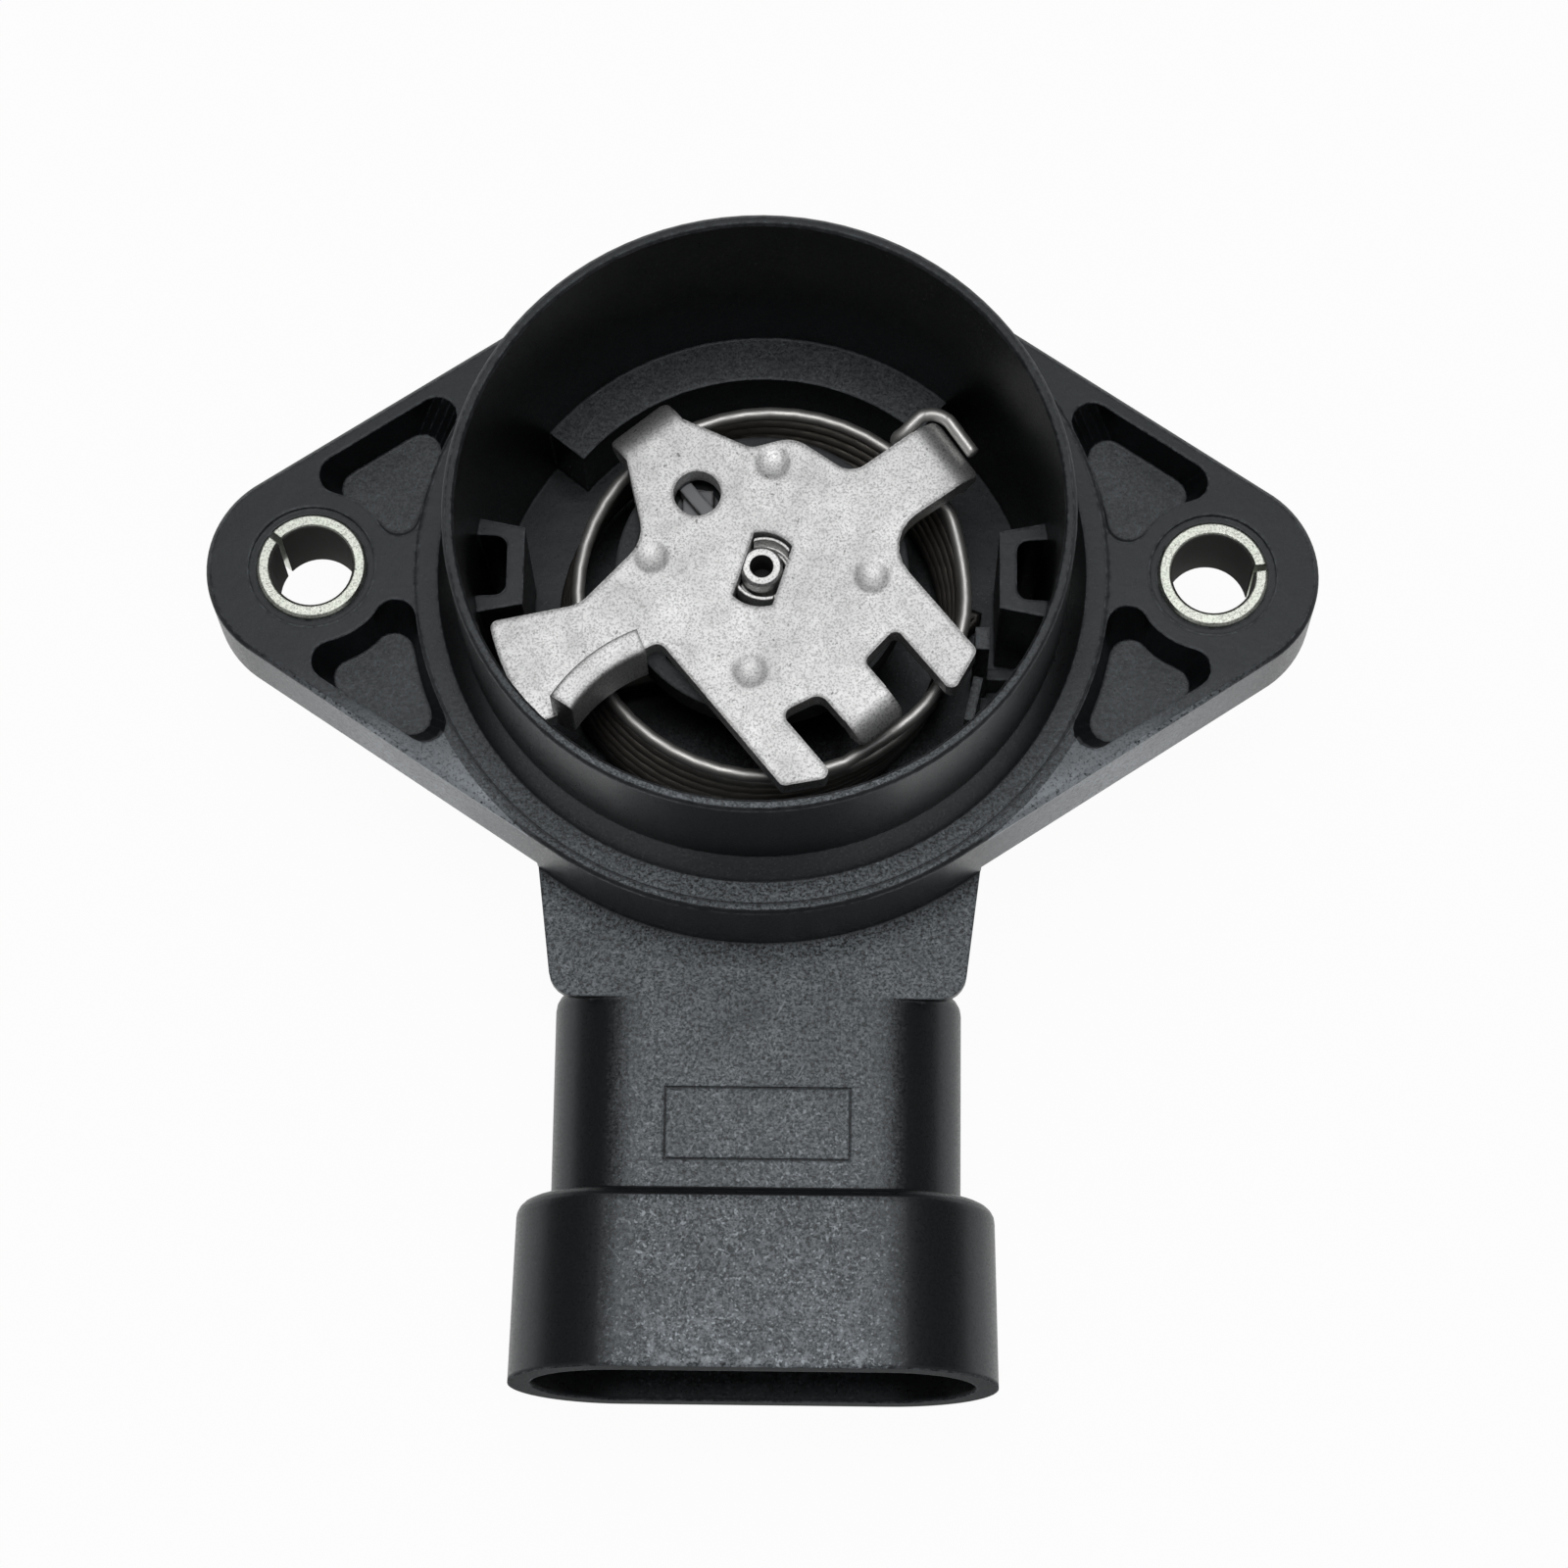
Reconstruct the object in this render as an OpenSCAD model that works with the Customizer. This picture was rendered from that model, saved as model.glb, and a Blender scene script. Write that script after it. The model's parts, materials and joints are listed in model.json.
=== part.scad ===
// Throttle position sensor: a two-lug flanged housing with a deep cup that
// faces the throttle shaft, a sprung drive plate inside the cup, a sealed
// sensing chamber behind it and an oval six-way connector on a flat neck.
// The rotor axis is Z, z = 0 is the flange's mating face, the cup opens
// towards +Z, the lugs lie along X and the connector points to -Y.

/* [Flange] */
// Distance between the two fixing holes
hole_pitch = 66; // [60:0.5:80]
// Radius of each rounded lug end
lug_r = 7.75; // [7.5:0.05:8.5]
// Radius of the round middle of the flange
body_r = 26.1; // [25.9:0.1:27.5]
// Thickness of the flange
flange_t = 6.8; // [6:0.1:7.4]
// Bevel round the flange's top edge
flange_bevel = 0.3; // [0.1:0.05:0.6]
// Depth of the four triangular relief pockets
pocket_depth = 3.6; // [2:0.1:4.5]
// Width of the rim left outside each pocket
pocket_rim = 1.2; // [1:0.1:1.6]
// Slope of the pocket walls, as an inset of the floor
pocket_draft = 0.6; // [0.3:0.05:0.8]

/* [Bushes] */
// Outer radius of the steel bush in each lug
bush_r = 4.05; // [3.8:0.05:4.3]
// Radius of the hole through each bush
bush_bore_r = 3.0; // [2.6:0.05:3.2]
// How far a bush stands proud of both flange faces
bush_proud = 0.2; // [0.1:0.05:0.4]
// Width of the split in each rolled bush
bush_split = 0.5; // [0.3:0.05:0.8]

/* [Cup] */
// Outer radius of the cup, which pilots in the throttle body
cup_r = 22.45; // [22:0.05:22.7]
// Height of the cup's rim above the flange
cup_h = 13.3; // [12:0.1:16]
// Thickness of the cup wall at the rim
cup_rim_t = 0.85; // [0.7:0.05:1.1]
// Thickness of the cup wall at its floor, where the draft makes it thicker
cup_foot_t = 2.0; // [1.6:0.1:2.3]
// Width of the steep bevel round the cup's foot
foot_bevel = 1.3; // [1:0.05:1.9]
// Height of the bevel round the cup's foot
foot_h = 1.9; // [1:0.1:2.4]
// Depth of the cup's floor below the flange's top face
cup_floor = 12.6; // [12.4:0.1:12.9]
// Top of the raised arc ledge, below the flange's top face
ledge_drop = 5.8; // [5:0.1:8]
// Inner radius of the arc ledge
ledge_r = 17.4; // [17.1:0.1:18.5]
// Top of the two U-shaped brackets above the flange's top face
bracket_top = 0.6; // [0.4:0.05:0.9]
// Distance from the axis to the brackets' inner faces
bracket_x = 17.4; // [17.4:0.05:17.8]
// Half width of a bracket at its inner face
bracket_half = 2.95; // [2.6:0.05:3]
// Wall thickness of a bracket
bracket_t = 1.25; // [1:0.05:1.4]

/* [Rear chamber] */
// Thickness of the round can's wall round the rear cover
can_wall = 1.6; // [1.2:0.1:2]
// Depth of the can's back face below the flange's top face
can_depth = 22; // [21.9:0.1:22.6]
// Inner radius of the sensing chamber
chamber_r = 18; // [17.6:0.1:18.2]
// Thickness of the wall between the cup and the chamber
floor_t = 1.8; // [1.6:0.1:2]
// Width of the ledge inside the can that the rear cover seats on
cover_seat = 2.3; // [2:0.1:2.6]
// Thickness of the rear cover
cover_t = 1.6; // [1.4:0.1:1.8]
// Thickness of the resistive board
board_t = 1.0; // [0.8:0.1:1.2]
// Radius of the inner resistive track
track_inner_r = 6.2; // [5.5:0.1:7]
// Radius of the outer resistive track
track_outer_r = 10.2; // [9.4:0.1:11]

/* [Connector] */
// Distance from the rotor axis to the connector's mouth
mouth_y = 57.75; // [55:0.25:62]
// Length of the connector shroud
shroud_len = 13.3; // [12.5:0.1:15]
// Half width of the shroud
shroud_half = 17.8; // [17.2:0.1:18.2]
// Half height of the shroud, which is the radius of its ends
shroud_r = 8.05; // [7.8:0.05:8.1]
// Wall thickness of the shroud
shroud_wall = 1.6; // [1.3:0.1:1.9]
// Half width of the neck
neck_half = 15; // [14.4:0.1:15.4]
// Half height of the neck, which is the radius of its sides
neck_r = 5.9; // [5.6:0.05:6.1]
// Depth of the neck's middle plane below the flange's top face
neck_drop = 13.9; // [13.7:0.05:13.95]
// Thickness of the wide root's top plate
root_plate_t = 0.8; // [0.6:0.1:1.5]
// Distance from the rotor axis to the end of the wide root
root_y = 30.2; // [29:0.1:33]
// Half width of the root block beside the flange
root_half = 16.3; // [16:0.1:17]
// Distance between neighbouring terminals
terminal_pitch = 4.2; // [3.8:0.1:4.4]
// Width of a terminal blade
terminal_w = 1.5; // [1.2:0.1:1.8]
// Thickness of a terminal blade
terminal_t = 0.8; // [0.6:0.05:1]
// How far the blade tips stop short of the mouth
terminal_recess = 5.2; // [4.8:0.1:6]

/* [Drive plate] */
// Thickness of the stamped drive plate
plate_t = 1.9; // [1.6:0.05:2]
// Height of the plate's top face above the flange
plate_top = 1.0; // [0.9:0.05:1.4]
// Height of the upright drive tab above the plate
tab_h = 4.0; // [3:0.1:6]
// Outer radius of the wide stop arm
stop_arm_r = 20.3; // [19:0.1:20.5]
// Radius from the axis of the long comb arms' tips
comb_arm_r = 17.0; // [16:0.1:17.1]
// Reach of the spring arm before its tip folds down
spring_arm_u = 15.05; // [14.85:0.1:15.25]
// Reach of the short arm before its tip folds down
short_arm_u = 12.6; // [12.2:0.1:12.9]
// Angle by which the arm tips fold down
fold_angle = 50; // [40:5:60]
// Radius of the round peephole in the plate
peephole_r = 1.75; // [1.4:0.05:1.9]
// Radius of the round ends of the double-D drive hole
drive_hole_r = 2.9; // [2.6:0.05:3.1]
// Distance between the flats of the drive hole
drive_flats = 3.0; // [2.8:0.05:3.2]
// Radius from the axis of the four pressed dimples
dimple_ring_r = 8.1; // [7.8:0.1:8.4]

/* [Rotor] */
// Outer radius of the rotor's head under the plate
rotor_r = 10.8; // [10.4:0.1:11.4]
// Outer radius of the rotor's hub
hub_r = 5.4; // [5:0.1:5.8]
// Radius of the steel spindle in its bearing
spindle_r = 3.0; // [2.8:0.05:3.2]
// Radius of the spindle's reduced top end, which has a flat each side
spindle_tip_r = 1.56; // [1.3:0.01:1.7]
// Radial running clearance of the spindle in its bush
spindle_gap = 0.03; // [0.02:0.01:0.06]
// Outer radius of the bearing bush
bearing_r = 4.3; // [4.1:0.1:4.6]

/* [Return spring] */
// Mean radius of the spring's coils
spring_r = 14.4; // [14.2:0.05:14.5]
// Diameter of the spring wire
wire_d = 1.0; // [0.8:0.05:1.1]
// Number of close-wound turns
spring_turns = 6; // [5:1:6]
// Height of one close-wound turn
spring_pitch = 1.08; // [1.06:0.01:1.12]
// Sideways drift of the loaded coils down the stack
spring_lean = 1.6; // [0:0.1:2]

/* [Hidden] */

eps = 0.01;
round_fn = 96;
axial_gap = 0.1;
terminal_count = 6;

foot_step = 0.1;

// Levels, measured from the flange's top face
plate_z = plate_top - plate_t;
floor_z = -cup_floor;
ceiling_z = floor_z - floor_t;
back_z = -can_depth;
cover_z = back_z + cover_t;
neck_z = -neck_drop;
neck_top = neck_z + neck_r;
board_z = cover_z + 0.5;
board_top = board_z + board_t;
cover_r = chamber_r + cover_seat;
can_r = cover_r + can_wall;
cover_gap = 0.05;
seal_r = chamber_r + cover_seat / 2;
seal_half = cover_seat * 0.26;
seal_t = 0.9;
board_r = chamber_r - 0.6;
shroud_back = mouth_y - shroud_len;
socket_depth = shroud_len - 2.2;

// Angle of the straight flange sides, from +X
side_angle = acos((body_r - lug_r) / (hole_pitch / 2));

// Bearing stack under the rotor
bearing_flange_t = 0.6;
bearing_flange_r = bearing_r + 0.9;
bearing_top = floor_z + bearing_flange_t;
washer_t = 0.5;
washer_z = bearing_top + axial_gap;
hub_bottom = washer_z + washer_t;
bearing_bottom = ceiling_z - 0.4;
clip_t = 0.6;
clip_z = bearing_bottom - axial_gap - clip_t;
clip_groove_r = spindle_r - 0.5;
carrier_t = 1.1;
collar_t = 0.4;
carrier_z = clip_z - collar_t - carrier_t;
carrier_r = track_outer_r + 2.3;
carrier_hub_r = spindle_r - 0.8;
spindle_bottom = carrier_z - 0.3;
spindle_top = plate_top - 0.1;

// Inner radius of the drafted cup wall at height z
function cup_inner(z) =
    let(rim = cup_r - cup_rim_t, foot = cup_r - cup_foot_t)
    foot + (rim - foot) * (z - floor_z) / (cup_h - floor_z);

// Helpers for outlines
function polar(r, a) = [r * cos(a), r * sin(a)];
function turned(p, a) = [p.x * cos(a) - p.y * sin(a), p.x * sin(a) + p.y * cos(a)];
function unit(v) = v / norm(v);

// Points of the arc that rounds one corner p, between points a and b
function corner_arc(a, p, b, r, steps = 6) =
    r <= 0 ? [p] :
    let(
        u = unit(a - p),
        v = unit(b - p),
        half = acos(max(-1, min(1, u * v))) / 2,
        reach = min(r / tan(half), norm(a - p) * 0.49, norm(b - p) * 0.49),
        rr = reach * tan(half),
        c = p + unit(u + v) * rr / sin(half),
        s = p + u * reach - c,
        e = p + v * reach - c,
        start = atan2(s.y, s.x),
        sweep = atan2(s.x * e.y - s.y * e.x, s * e)
    )
    [for (i = [0:steps]) c + polar(rr, start + sweep * i / steps)];

// A closed outline from rows of [point, corner radius]
function rounded(rows) =
    let(n = len(rows))
    [for (i = [0:n - 1])
        each corner_arc(rows[(i + n - 1) % n][0], rows[i][0], rows[(i + 1) % n][0], rows[i][1])];

// Plain shapes that several pieces share
module ring(r_out, r_in, h) {
    difference() {
        cylinder(r = r_out, h = h, $fn = round_fn);
        translate([0, 0, -1]) cylinder(r = r_in, h = h + 2, $fn = round_fn);
    }
}

module stadium(half, r) {
    square([2 * (half - r), 2 * r], center = true);
    for (s = [-1, 1]) translate([s * (half - r), 0]) circle(r = r, $fn = 64);
}

// Oval bar along -Y between two distances from the rotor axis
module oval_bar(half, r, y0, y1) {
    translate([0, -y0, neck_z]) rotate([90, 0, 0]) linear_extrude(y1 - y0) stadium(half, r);
}

// Housing

// Round part of the flange, with its bevelled top edge
module flange_disc(r) {
    rotate_extrude($fn = 80) polygon([
        [0, -flange_t], [r, -flange_t], [r, -flange_bevel], [r - flange_bevel, 0], [0, 0]
    ]);
}

module flange_body() {
    hull() {
        flange_disc(body_r);
        for (s = [-1, 1]) translate([s * hole_pitch / 2, 0, 0]) flange_disc(lug_r);
    }
}

// Outline of the pocket in the quarter where x and y are positive, drawn
// smaller by inset. It is bounded by a rib beside the X axis, a boss round
// the bush, a rim along the flange's straight side and the cup's surround.
function pocket_points(inset) =
    let(
        corner = 1.5,
        boss = [hole_pitch / 2, 0],
        n = polar(1, side_angle),
        t = polar(1, side_angle - 90),
        around = body_r - 0.6 + inset + corner,
        bush_side = bush_r + 1.9 + inset + corner,
        rim = body_r - pocket_rim - inset - corner,
        rib = 1.65 + inset + corner,
        meet_x = (around * around - bush_side * bush_side + boss.x * boss.x) / (2 * boss.x),
        meet_y = sqrt(max(0, around * around - meet_x * meet_x)),
        low = max(rib, meet_y),
        c1 = [sqrt(around * around - low * low), low],
        c2 = n * rim + t * sqrt(around * around - rim * rim),
        c3 = n * rim + t * (boss * t - sqrt(bush_side * bush_side - pow(rim - boss * n, 2))),
        c4 = [max(c1.x + 0.05, boss.x - sqrt(bush_side * bush_side - low * low)), low],
        a1 = atan2(c1.y, c1.x),
        a2 = atan2(c2.y, c2.x),
        b3 = atan2((c3 - boss).y, (c3 - boss).x),
        b4 = atan2((c4 - boss).y, (c4 - boss).x)
    )
    concat(
        [for (i = [0:6]) c1 + polar(corner, 180 + a1 + (90 - a1) * i / 6)],
        [for (i = [0:6]) c4 + polar(corner, -90 + (90 + b4 - 180) * i / 6)],
        [for (i = [1:5]) boss + polar(bush_side - corner, b4 + (b3 - b4) * i / 6)],
        [for (i = [0:6]) c3 + polar(corner, b3 - 180 + (side_angle + 180 - b3) * i / 6)],
        [for (i = [0:6]) c2 + polar(corner, side_angle + (180 + a2 - side_angle) * i / 6)],
        [for (i = [1:7]) polar(around - corner, a2 + (a1 - a2) * i / 8)]
    );

module pockets() {
    above = 0.5;
    floor_points = pocket_points(pocket_draft);
    open_points = pocket_points(-pocket_draft * above / pocket_depth);
    n = len(floor_points);
    points = concat(
        [for (p = floor_points) [p.x, p.y, -pocket_depth]],
        [for (p = open_points) [p.x, p.y, above]]
    );
    faces = concat(
        [[for (i = [0:n - 1]) i], [for (i = [n - 1:-1:0]) n + i]],
        [for (i = [0:n - 1]) [i, i + n, (i + 1) % n + n, (i + 1) % n]]
    );
    for (sx = [0, 1], sy = [0, 1]) mirror([sx, 0, 0]) mirror([0, sy, 0])
        polyhedron(points = points, faces = faces);
}

// Outer form of the cup, with the fillet at its foot and a softened rim
module cup_outer() {
    edge = 0.25;
    rotate_extrude($fn = round_fn) polygon([
        [0, floor_z], [cup_r + foot_bevel, floor_z / 4], [cup_r + foot_bevel, foot_step],
        [cup_r, foot_step + foot_h], [cup_r, cup_h - edge], [cup_r - edge, cup_h], [0, cup_h]
    ]);
}

module cup_cavity() {
    edge = 0.2;
    rotate_extrude($fn = round_fn) polygon([
        [0, floor_z], [cup_inner(floor_z), floor_z], [cup_inner(cup_h - edge), cup_h - edge],
        [cup_inner(cup_h) + edge, cup_h + eps], [cup_inner(cup_h) + edge, cup_h + 2], [0, cup_h + 2]
    ]);
}

// Raised arc ledge that fills the back of the cup between two angles
module arc_ledge() {
    start = 49;
    span = 92.5;
    rotate([0, 0, start]) rotate_extrude(angle = span, $fn = round_fn)
        translate([ledge_r, floor_z - eps])
            square([cup_inner(-ledge_drop) + 0.4 - ledge_r, cup_floor - ledge_drop + eps]);
}

// U-shaped bracket on the cup wall, open towards the wall
module bracket() {
    flare = 0.8;
    wall_x = cup_inner(floor_z) + 0.9;
    inside_x = bracket_x + bracket_t;
    inside_half = bracket_half - 0.7;
    height = bracket_top - floor_z;
    translate([0, 0, floor_z - eps]) linear_extrude(height + eps) difference() {
        polygon([
            [bracket_x, -bracket_half], [wall_x, -bracket_half - flare],
            [wall_x, bracket_half + flare], [bracket_x, bracket_half]
        ]);
        polygon(rounded([
            [[inside_x, -inside_half], 0.9], [[wall_x + 1, -inside_half - 0.2], 0],
            [[wall_x + 1, inside_half + 0.2], 0], [[inside_x, inside_half], 0.9]
        ]));
    }
}

// Post and rib that hold the spring's fixed leg, low on the cup wall
module spring_anchor() {
    post_z = plate_z - 0.35;
    rib_z = plate_z - 2.2;
    post = [16.2, -4.65];
    post_size = [1.0, 1.7];
    web_size = [4.6, 0.9, 3.0];
    rib = [15.6, -8.7];
    rib_size = [0.7, 3.4];
    rib_turn = -12;
    translate([post.x - post_size.x / 2, post.y - post_size.y / 2, floor_z - eps])
        cube([post_size.x, post_size.y, post_z - floor_z + eps]);
    translate([post.x, post.y - web_size.y / 2, floor_z - eps]) cube(web_size);
    translate([rib.x, rib.y, floor_z - eps]) rotate([0, 0, rib_turn])
        translate([-rib_size.x / 2, -rib_size.y / 2, 0]) cube([rib_size.x, rib_size.y, rib_z - floor_z]);
}

// Outline of the wide root, with side insets and its front at distance end
module root_outline(inset, end) {
    inner_y = -15;
    taper = 1.25;
    bend_y = -20;
    side = root_half - inset;
    front = side - taper * (end + bend_y) / (root_y + bend_y);
    polygon(rounded([
        [[-side, inner_y], 0], [[-side, bend_y], 4], [[-front, -end], 2.0],
        [[front, -end], 2.0], [[side, bend_y], 4], [[side, inner_y], 0]
    ]));
}

// Wide root under the front of the flange: a thin top plate, flush with the
// neck's top, and the narrower block that carries it
module root_block() {
    block_inset = 1.1;
    block_end = root_y - 3.4;
    translate([0, 0, neck_top - root_plate_t]) linear_extrude(root_plate_t) root_outline(0, root_y);
    translate([0, 0, neck_z - neck_r]) linear_extrude(2 * neck_r - root_plate_t + eps)
        root_outline(block_inset, block_end);
    intersection() {
        translate([0, 0, neck_top - eps])
            cylinder(r = body_r, h = -flange_t - neck_top + 2 * eps, $fn = round_fn);
        translate([-root_half, -body_r, neck_top - eps])
            cube([2 * root_half, body_r / 2, -flange_t - neck_top + 2 * eps]);
    }
}

// Neck with a flat top, and round sides that start in a rounded shoulder
module neck_outer() {
    shoulder = 1.5;
    flat = neck_half - neck_r;
    start = root_y - 6;
    end = shroud_back + 2;
    shoulder_y = root_y - 1.65;
    profile = concat(
        [[0, start], [neck_r - shoulder, start]],
        [for (i = [0:5]) [neck_r - shoulder * (1 - sin(18 * i)), shoulder_y + shoulder * (1 - cos(18 * i))]],
        [[neck_r, end], [0, end]]
    );
    for (s = [-1, 1]) translate([s * flat, 0, neck_z]) rotate([90, 0, 0])
        rotate_extrude($fn = round_fn) polygon(profile);
    translate([-flat, -end, neck_z - neck_r]) cube([2 * flat, end - start, 2 * neck_r]);
}

// Connector shroud with its rounded back shoulder and a little draft
module shroud_outer() {
    shoulder = 1.2;
    draft = 0.3;
    back_r = shroud_r - draft;
    flat = shroud_half - shroud_r;
    profile = concat(
        [[0, 0]],
        [for (i = [0:5]) [back_r - shoulder * (1 - sin(18 * i)), shoulder * (1 - cos(18 * i))]],
        [[shroud_r, shroud_len], [0, shroud_len]]
    );
    far_side = [for (i = [len(profile) - 1:-1:0]) [-profile[i].x, profile[i].y]];
    translate([0, -shroud_back, neck_z]) rotate([90, 0, 0]) {
        for (s = [-1, 1]) translate([s * flat, 0, 0]) rotate_extrude($fn = round_fn) polygon(profile);
        translate([-flat, 0, 0]) rotate([90, 0, 90]) linear_extrude(2 * flat) union() {
            polygon(profile);
            polygon(far_side);
        }
    }
}

// Engraved empty label window on the neck's flat
module label_window() {
    line = 0.18;
    depth = 0.15;
    size = [13.4, 5.3];
    behind_shroud = 4.85;
    centre = [0.15, behind_shroud - shroud_back];
    translate([centre.x, centre.y, neck_top - depth]) linear_extrude(1) difference() {
        square(size + [line, line], center = true);
        square(size - [line, line], center = true);
    }
}

// Fine circular witness line on the flange, round the cup
module witness_line() {
    r = body_r - 0.75;
    translate([0, 0, -0.12]) ring(r + 0.09, r - 0.09, 1);
}

module sensing_chamber() {
    translate([0, 0, cover_z - eps]) cylinder(r = chamber_r, h = ceiling_z - cover_z + eps, $fn = round_fn);
    translate([0, 0, back_z - 1]) cylinder(r = cover_r, h = cover_t + 1, $fn = round_fn);
    translate([0, 0, cover_z - eps]) ring(seal_r + seal_half, seal_r - seal_half, seal_t + eps);
}

module housing() {
    color([0.09, 0.09, 0.1]) {
        difference() {
            union() {
                flange_body();
                cup_outer();
                translate([0, 0, back_z]) cylinder(r = can_r, h = can_depth - flange_t + eps, $fn = round_fn);
                root_block();
                neck_outer();
                shroud_outer();
            }
            cup_cavity();
            pockets();
            for (s = [-1, 1]) translate([s * hole_pitch / 2, 0, 0]) {
                translate([0, 0, -flange_t - 1]) cylinder(r = bush_r, h = flange_t + 2, $fn = round_fn);
                translate([0, 0, -0.25]) cylinder(r = bush_r + 0.6, h = 1, $fn = round_fn);
            }
            sensing_chamber();
            translate([0, 0, ceiling_z - 1]) cylinder(r = bearing_r, h = floor_t + 2, $fn = round_fn);
            oval_bar(shroud_half - shroud_wall, shroud_r - shroud_wall, mouth_y - socket_depth, mouth_y + 1);
            for (i = [1:terminal_count]) terminal_blank(i, 1);
            label_window();
            witness_line();
        }
        arc_ledge();
        for (s = [0, 1]) mirror([s, 0, 0]) bracket();
        spring_anchor();
    }
}

// Rolled steel bush with its split turned to angle a
module split_bush(x, a) {
    length = flange_t + 2 * bush_proud;
    edge = 0.2;
    color([0.72, 0.74, 0.7]) translate([x, 0, -flange_t - bush_proud]) difference() {
        rotate_extrude($fn = round_fn) polygon([
            [bush_bore_r + edge, 0], [bush_r - edge, 0], [bush_r, edge], [bush_r, length - edge],
            [bush_r - edge, length], [bush_bore_r + edge, length], [bush_bore_r, length - edge],
            [bush_bore_r, edge]
        ]);
        rotate([0, 0, a]) translate([0, -bush_split / 2, -1]) cube([bush_r + 1, bush_split, length + 2]);
    }
}

module bush_left() {
    split_turn = 142;
    split_bush(-hole_pitch / 2, split_turn);
}

module bush_right() {
    split_turn = 8;
    split_bush(hole_pitch / 2, split_turn);
}

// Sintered bearing bush with its flange on the cup's floor
module bearing_bush() {
    bore = spindle_r + spindle_gap;
    length = bearing_top - bearing_bottom;
    color([0.62, 0.5, 0.3]) difference() {
        union() {
            translate([0, 0, bearing_bottom]) cylinder(r = bearing_r, h = length, $fn = round_fn);
            translate([0, 0, floor_z]) cylinder(r = bearing_flange_r, h = bearing_flange_t, $fn = round_fn);
        }
        translate([0, 0, bearing_bottom - 1]) cylinder(r = bore, h = length + 2, $fn = round_fn);
    }
}

// Flat cover let into the back of the can, with a shallow weld groove
module rear_cover() {
    weld_r = cover_r - 1.4;
    post_r = chamber_r - 2.8;
    color([0.1, 0.1, 0.11]) {
        difference() {
            translate([0, 0, back_z]) cylinder(r = cover_r - cover_gap, h = cover_t, $fn = round_fn);
            translate([0, 0, back_z - 1]) ring(weld_r + 0.5, weld_r - 0.5, 1.3);
        }
        for (a = [45:90:315]) rotate([0, 0, a]) translate([post_r, 0, cover_z - eps])
            cylinder(r = 1, h = board_z - cover_z + eps, $fn = 32);
    }
}

module cover_seal() {
    color([0.25, 0.1, 0.08]) rotate_extrude($fn = round_fn) polygon(rounded([
        [[seal_r - seal_half, cover_z], 0.2], [[seal_r + seal_half, cover_z], 0.2],
        [[seal_r + seal_half, cover_z + seal_t], 0.3], [[seal_r - seal_half, cover_z + seal_t], 0.3]
    ]));
}

// Ceramic board with two raised resistive tracks and a row of contact pads
module sensor_board() {
    tracks = [track_inner_r, track_outer_r];
    track_w = 1.8;
    track_t = 0.1;
    flat_y = 1.0 - board_r;
    color([0.85, 0.85, 0.8]) difference() {
        translate([0, 0, board_z]) cylinder(r = board_r, h = board_t, $fn = round_fn);
        translate([-chamber_r, flat_y - 5, board_z - 1]) cube([2 * chamber_r, 5, board_t + 2]);
        translate([0, 0, board_z - 1]) cylinder(r = spindle_r + 0.6, h = board_t + 2, $fn = 48);
    }
    color([0.1, 0.1, 0.1]) translate([0, 0, board_top - eps]) for (r = tracks)
        rotate([0, 0, -30]) rotate_extrude(angle = 250, $fn = round_fn)
            translate([r - track_w / 2, 0]) square([track_w, track_t + eps]);
}

// Distance from the rotor axis to the inner end of a terminal at place x
function terminal_end(x) = sqrt(chamber_r * chamber_r - x * x) - 3.2;

function terminal_x(i) = (i - (terminal_count + 1) / 2) * terminal_pitch;

// One stamped terminal: blade, step down inside the neck, run and foot on
// the board. cut = 1 draws the channel that it leaves in the housing.
module terminal_blank(i, cut = 0) {
    x = terminal_x(i);
    tip_y = mouth_y - terminal_recess;
    step_y = shroud_back - 4;
    run_z = board_top + 1.1;
    end_y = terminal_end(x);
    half = terminal_t / 2;
    translate([x - terminal_w / 2, 0, 0]) rotate([90, 0, 90]) linear_extrude(terminal_w) polygon([
        [-tip_y, neck_z - half * 0.5], [-tip_y + 0.8, neck_z - half], [-step_y - half, neck_z - half],
        [-step_y - half, run_z - half], [-end_y - half, run_z - half],
        [-end_y - half, cut ? run_z - half : board_top], [-end_y + half, cut ? run_z - half : board_top],
        [-end_y + half, run_z + half], [-step_y + half, run_z + half],
        [-step_y + half, neck_z + half], [-tip_y + 0.8, neck_z + half], [-tip_y, neck_z + half * 0.5]
    ]);
}

module terminal(i) { color([0.78, 0.74, 0.6]) terminal_blank(i); }

// Drive plate

// Local frames of the plate's arms: u runs out along the arm, v across it
comb_angle = -50;
spring_arm_angle = 36;
short_arm_angle = 129.3;
function comb(u, v) = turned([u, v], comb_angle);
function spring_arm(u, v) = turned([u, v], spring_arm_angle);
function short_arm(u, v) = turned([u, v], short_arm_angle);

// Centre, outer radius and end angles of the upright tab, which is an arc
tab_centre = [-4.0, -18.25];
tab_r = 12.9;
tab_near = 112;
tab_far = 148;

// Half widths and edges of the arms
short_half = 2.65;
spring_arm_low = -3.3;
spring_arm_high = 2.1;
finger_low = -2.9;
finger_high = 1.1;
finger_fold = 12.9;
arm_low = -9.4;
arm_mid = -6.1;
arm_e_low = 4.5;
arm_e_high = 8.0;
stop_edge_angle = 192.9;
stop_far_angle = 217.2;

// Place along a comb arm at which its edge v reaches the tip radius
function comb_tip(v) = sqrt(comb_arm_r * comb_arm_r - v * v);

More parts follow.
